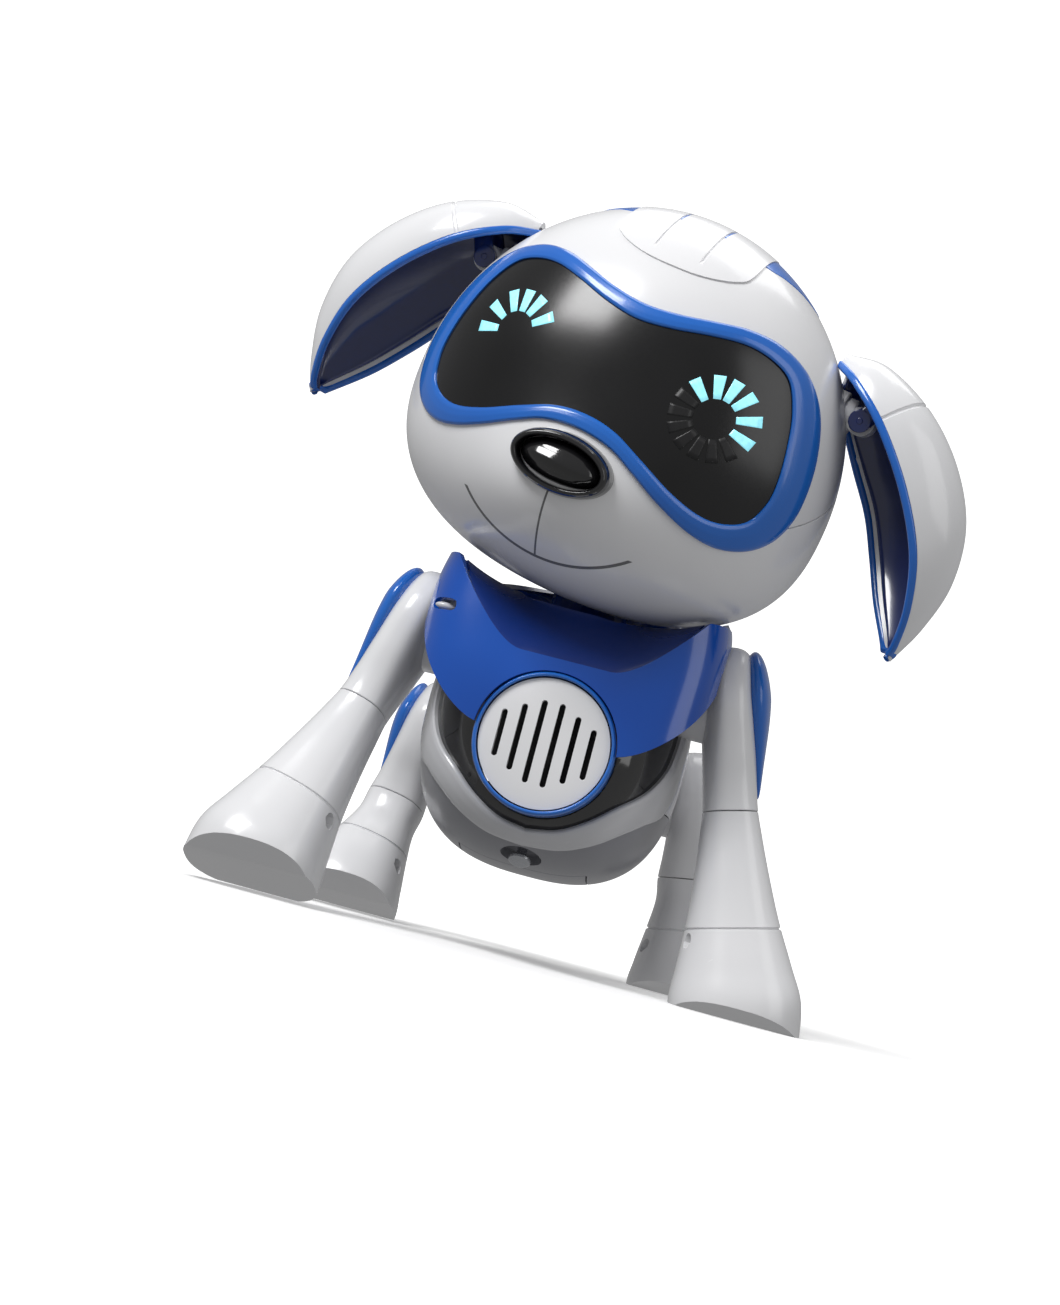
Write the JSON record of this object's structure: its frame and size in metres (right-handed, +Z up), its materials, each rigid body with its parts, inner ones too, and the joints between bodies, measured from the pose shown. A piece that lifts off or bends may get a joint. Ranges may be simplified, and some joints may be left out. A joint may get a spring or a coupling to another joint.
{
  "type": "robot dog toy",
  "caption": "Robot puppy toy with a big goggled head on a turning neck, hinged ears, a round chest speaker, swinging splayed legs and a wagging tail.",
  "frame": {"origin": "middle of the toy's outline in plan, on the floor under its planted feet", "axes": "-Y is where the body faces, +X is its own left side, +Z is up"},
  "size_m": [0.2066, 0.1804, 0.2257],
  "materials": {
    "white_plastic": "glossy white moulding",
    "blue_plastic": "glossy blue moulding",
    "navy_plastic": "glossy dark blue moulding",
    "silver_plastic": "satin silver-grey paint on plastic",
    "black_gloss": "polished black",
    "smoke_plastic": "smoke-tinted gloss",
    "nylon": "natural gear nylon",
    "steel": "plated steel",
    "circuit_board": "green solder mask",
    "cell_jacket": "shrink sleeve on a steel can"
  },
  "bodies": {
    "torso": {"back_shell": "white_plastic", "belly_shell": "silver_plastic", "battery_cover": "silver_plastic", "battery_screw": "steel", "chest_panel": "smoke_plastic", "harness_band": "silver_plastic", "bib": "blue_plastic", "neck_collar": "navy_plastic", "speaker_ring": "blue_plastic", "speaker_grille": "white_plastic", "speaker_driver": "smoke_plastic", "battery_cell_1": "cell_jacket", "battery_cell_2": "cell_jacket", "battery_cell_3": "cell_jacket", "main_board": "circuit_board", "drive_frame": "nylon", "walk_motor_left": "steel", "walk_motor_right": "steel", "neck_motor": "steel"},
    "neck": {"neck_post": "nylon"},
    "head": {"head_top_shell": "white_plastic", "head_jaw_shell": "white_plastic", "visor_frame": "blue_plastic", "visor_lens": "black_gloss", "eye_board": "circuit_board", "crown_panel": "white_plastic", "crown_band": "blue_plastic", "nose_bezel": "black_gloss", "head_frame": "nylon", "tilt_motor": "steel", "left_ear_arm": "white_plastic", "right_ear_arm": "white_plastic"},
    "nose": {"nose_button": "black_gloss"},
    "tilt_pinion": {"tilt_pinion": "nylon"},
    "left_ear": {"left_ear_shell": "white_plastic", "left_ear_lining": "navy_plastic"},
    "right_ear": {"right_ear_shell": "white_plastic", "right_ear_lining": "navy_plastic"},
    "tail": {"tail": "white_plastic"},
    "power_switch": {"power_switch": "smoke_plastic"},
    "left_front_leg": {"left_front_upper_leg": "white_plastic", "left_front_boot": "white_plastic", "left_front_leg_cover": "blue_plastic", "left_front_axle_gear": "nylon"},
    "left_rear_leg": {"left_rear_upper_leg": "white_plastic", "left_rear_boot": "white_plastic", "left_rear_leg_cover": "blue_plastic", "left_rear_axle_crank": "nylon"},
    "left_link_rod": {"left_link_rod": "nylon"},
    "left_pinion": {"left_pinion": "nylon"},
    "right_front_leg": {"right_front_upper_leg": "white_plastic", "right_front_boot": "white_plastic", "right_front_leg_cover": "blue_plastic", "right_front_axle_gear": "nylon"},
    "right_rear_leg": {"right_rear_upper_leg": "white_plastic", "right_rear_boot": "white_plastic", "right_rear_leg_cover": "blue_plastic", "right_rear_axle_crank": "nylon"},
    "right_link_rod": {"right_link_rod": "nylon"},
    "right_pinion": {"right_pinion": "nylon"}
  },
  "joints": [
    {"name": "neck_turn", "type": "hinge", "parent": "torso", "child": "neck", "pos_m": [0.00107, -0.00172, 0.104], "axis": [0, -0.4067, 0.9135], "range_deg": [-11, 29]},
    {"name": "head_tilt", "type": "hinge", "parent": "neck", "child": "head", "pos_m": [0.00107, -0.02938, 0.16612], "axis": [0.1541, 0.9592, 0.237], "range_deg": [-22, 2]},
    {"name": "tilt_pinion_spin", "type": "hinge", "parent": "head", "child": "tilt_pinion", "pos_m": [0.00477, -0.03495, 0.18624], "axis": [0.1541, 0.9592, 0.237], "range_deg": [-55, 5]},
    {"name": "nose_press", "type": "slide", "parent": "head", "child": "nose", "axis": [0.1541, 0.9592, 0.237], "range_m": [0, 0.0012], "stiffness_N_per_m": 400, "springref_m": -0.0005},
    {"name": "left_ear_swing", "type": "hinge", "parent": "head", "child": "left_ear", "pos_m": [0.06633, -0.03739, 0.17719], "axis": [0.1541, 0.9592, 0.237], "range_deg": [-1, 22]},
    {"name": "left_front_leg_swing", "type": "hinge", "parent": "torso", "child": "left_front_leg", "pos_m": [0.04947, -0.01672, 0.088], "axis": [1, 0, 0], "range_deg": [-18, 18]},
    {"name": "left_rear_leg_swing", "type": "hinge", "parent": "torso", "child": "left_rear_leg", "pos_m": [0.04767, 0.06128, 0.062], "axis": [1, 0, 0], "range_deg": [-18, 18]},
    {"name": "left_rod_turn", "type": "hinge", "parent": "left_front_leg", "child": "left_link_rod", "pos_m": [0.02207, -0.01672, 0.097], "axis": [1, 0, 0], "range_deg": [-18, 18]},
    {"name": "left_pinion_spin", "type": "hinge", "parent": "torso", "child": "left_pinion", "pos_m": [0.02607, -0.01672, 0.0698], "axis": [1, 0, 0], "range_deg": [-36, 36]},
    {"name": "right_ear_swing", "type": "hinge", "parent": "head", "child": "right_ear", "pos_m": [-0.05426, -0.02439, 0.20297], "axis": [0.1541, 0.9592, 0.237], "range_deg": [-22, 1]},
    {"name": "right_front_leg_swing", "type": "hinge", "parent": "torso", "child": "right_front_leg", "pos_m": [-0.04733, -0.01672, 0.088], "axis": [1, 0, 0], "range_deg": [-2, 34]},
    {"name": "right_rear_leg_swing", "type": "hinge", "parent": "torso", "child": "right_rear_leg", "pos_m": [-0.04553, 0.06128, 0.062], "axis": [1, 0, 0], "range_deg": [-2, 34]},
    {"name": "right_rod_turn", "type": "hinge", "parent": "right_front_leg", "child": "right_link_rod", "pos_m": [-0.01993, -0.01424, 0.09665], "axis": [1, 0, 0], "range_deg": [-34, 2]},
    {"name": "right_pinion_spin", "type": "hinge", "parent": "torso", "child": "right_pinion", "pos_m": [-0.02393, -0.01672, 0.0698], "axis": [1, 0, 0], "range_deg": [-68, 4]},
    {"name": "tail_wag", "type": "hinge", "parent": "torso", "child": "tail", "pos_m": [0.00107, 0.06828, 0.091], "axis": [0, 0, 1], "range_deg": [-25, 25]},
    {"name": "switch_slide", "type": "slide", "parent": "torso", "child": "power_switch", "axis": [1, 0, 0], "range_m": [0, 0.004]}
  ],
  "couplings": [
    {"joint": "tilt_pinion_spin", "follows": "head_tilt", "ratio": 2.5},
    {"joint": "left_rear_leg_swing", "follows": "left_front_leg_swing", "ratio": 1},
    {"joint": "left_rod_turn", "follows": "left_front_leg_swing", "ratio": -1},
    {"joint": "left_pinion_spin", "follows": "left_front_leg_swing", "ratio": -2},
    {"joint": "right_rear_leg_swing", "follows": "right_front_leg_swing", "ratio": 1},
    {"joint": "right_rod_turn", "follows": "right_front_leg_swing", "ratio": -1},
    {"joint": "right_pinion_spin", "follows": "right_front_leg_swing", "ratio": -2}
  ]
}
